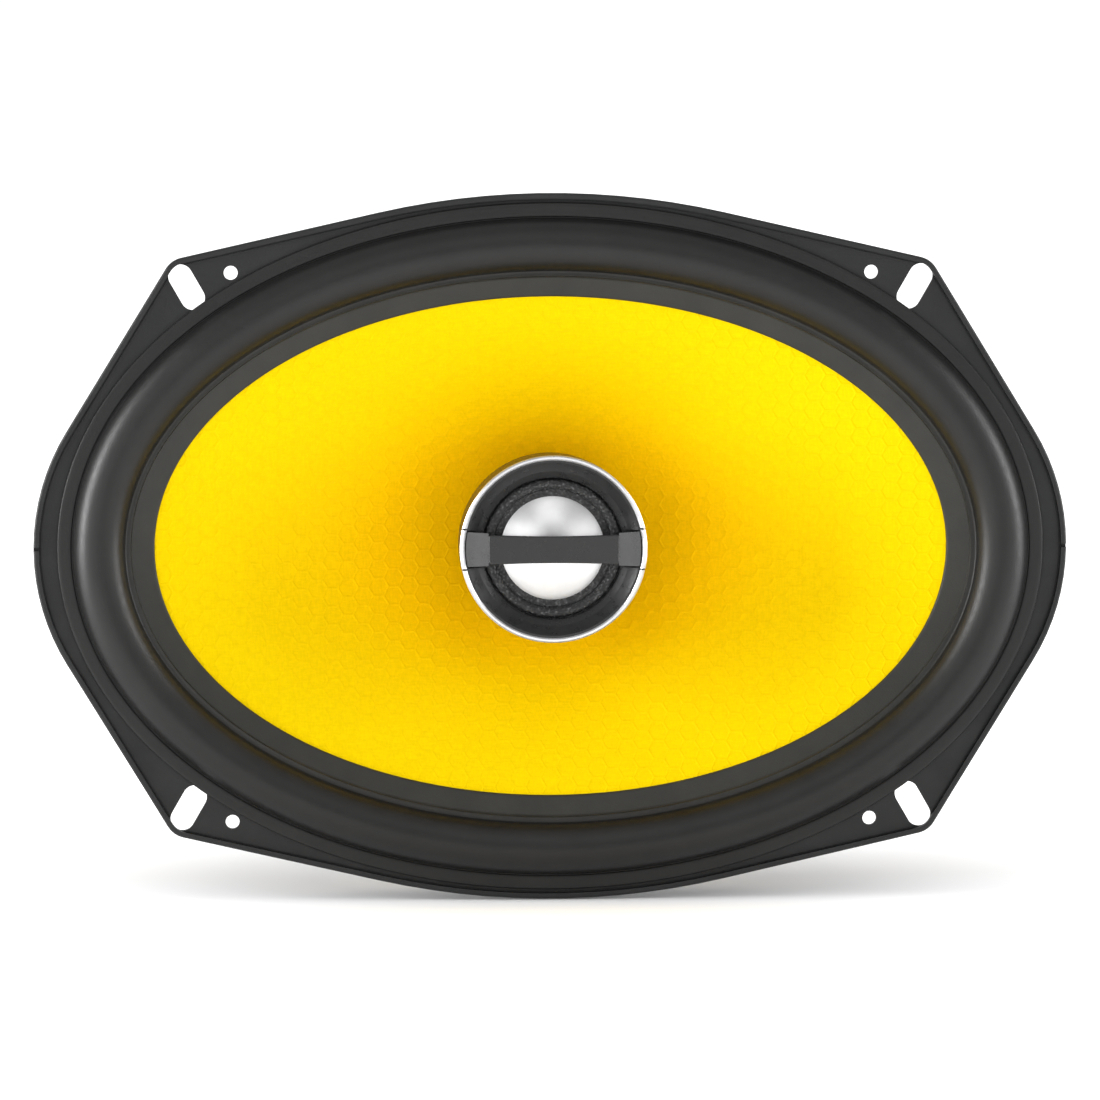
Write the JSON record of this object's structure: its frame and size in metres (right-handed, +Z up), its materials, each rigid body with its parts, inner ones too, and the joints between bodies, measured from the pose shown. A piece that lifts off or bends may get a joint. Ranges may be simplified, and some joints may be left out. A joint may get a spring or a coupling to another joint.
{
  "type": "coaxial car speaker",
  "caption": "Oval coaxial car speaker: pressed steel basket with slotted ears, rubber surround, yellow woofer cone and a dome tweeter on a centre post.",
  "frame": {"origin": "centre of the flange's rear face, the face that seats on the panel", "axes": "+X along the oval's long axis, +Y to the rear through the panel, +Z up; the speaker fires towards -Y"},
  "size_m": [0.236, 0.0905, 0.1614],
  "materials": {
    "frame_paint": "satin black powder coat on pressed steel",
    "butyl_rubber": "matt charcoal butyl rubber",
    "cone_yellow": "semi-matt yellow polypropylene, fine weave and hexagon emboss",
    "coil_former": "thin aluminium tube",
    "copper_wire": "enamelled copper",
    "spider_cloth": "resin-stiffened open weave",
    "zinc_steel": "zinc-plated steel",
    "black_steel": "black electro-coat on steel",
    "ferrite": "ground grey ferrite",
    "post_aluminium": "turned aluminium",
    "cap_rubber": "soft black moulding",
    "housing_gloss": "gloss black moulding",
    "bright_chrome": "polished chrome plate",
    "grey_plastic": "smooth satin grey moulding",
    "bar_plastic": "satin mid-grey moulding",
    "nickel": "nickel plate",
    "edge_cloth": "black coated cloth",
    "dome_aluminium": "spun and polished aluminium",
    "board_phenolic": "dark moulded board",
    "tinned_brass": "tinned brass",
    "capacitor_sleeve": "shrink sleeve",
    "tin": "tinned wire",
    "red_insulation": "red PVC",
    "black_insulation": "black PVC"
  },
  "bodies": {
    "frame": {"basket": "frame_paint", "front_plate": "black_steel", "plate_stakes": "black_steel", "magnet": "ferrite", "pole_yoke": "black_steel", "tweeter_post": "post_aluminium", "post_washer": "zinc_steel", "post_nut": "zinc_steel", "rear_cap": "cap_rubber", "tweeter_housing": "housing_gloss", "tweeter_trim_ring": "bright_chrome", "tweeter_front_ring": "grey_plastic", "tweeter_bar": "bar_plastic", "bar_plate": "grey_plastic", "tweeter_cup": "zinc_steel", "tweeter_magnet": "nickel", "tweeter_pole_plate": "zinc_steel", "tweeter_mount_ring": "black_insulation", "terminal_board": "board_phenolic", "terminal_positive": "tinned_brass", "terminal_negative": "tinned_brass", "terminal_rivets": "tinned_brass", "board_rivets": "zinc_steel", "capacitor": "capacitor_sleeve", "capacitor_leads": "tin", "tweeter_wire_positive": "red_insulation", "tweeter_wire_negative": "black_insulation"},
    "woofer_cone": {"cone": "cone_yellow", "surround": "butyl_rubber", "spider": "spider_cloth", "voice_coil_former": "coil_former", "voice_coil_winding": "copper_wire", "coil_tags": "tinned_brass", "tinsel_lead_positive": "copper_wire", "tinsel_lead_negative": "copper_wire"},
    "tweeter_diaphragm": {"tweeter_dome": "dome_aluminium", "tweeter_coil": "copper_wire", "tweeter_edge": "edge_cloth"}
  },
  "joints": [
    {"name": "woofer_travel", "type": "slide", "parent": "frame", "child": "woofer_cone", "axis": [0, -1, 0], "range_m": [-0.0045, 0.0045], "stiffness_N_per_m": 2400, "deforming": ["surround", "spider", "tinsel_lead_positive", "tinsel_lead_negative"]},
    {"name": "tweeter_travel", "type": "slide", "parent": "frame", "child": "tweeter_diaphragm", "axis": [0, -1, 0], "range_m": [-0.0003, 0.0003], "stiffness_N_per_m": 3000, "deforming": ["tweeter_edge"]}
  ]
}
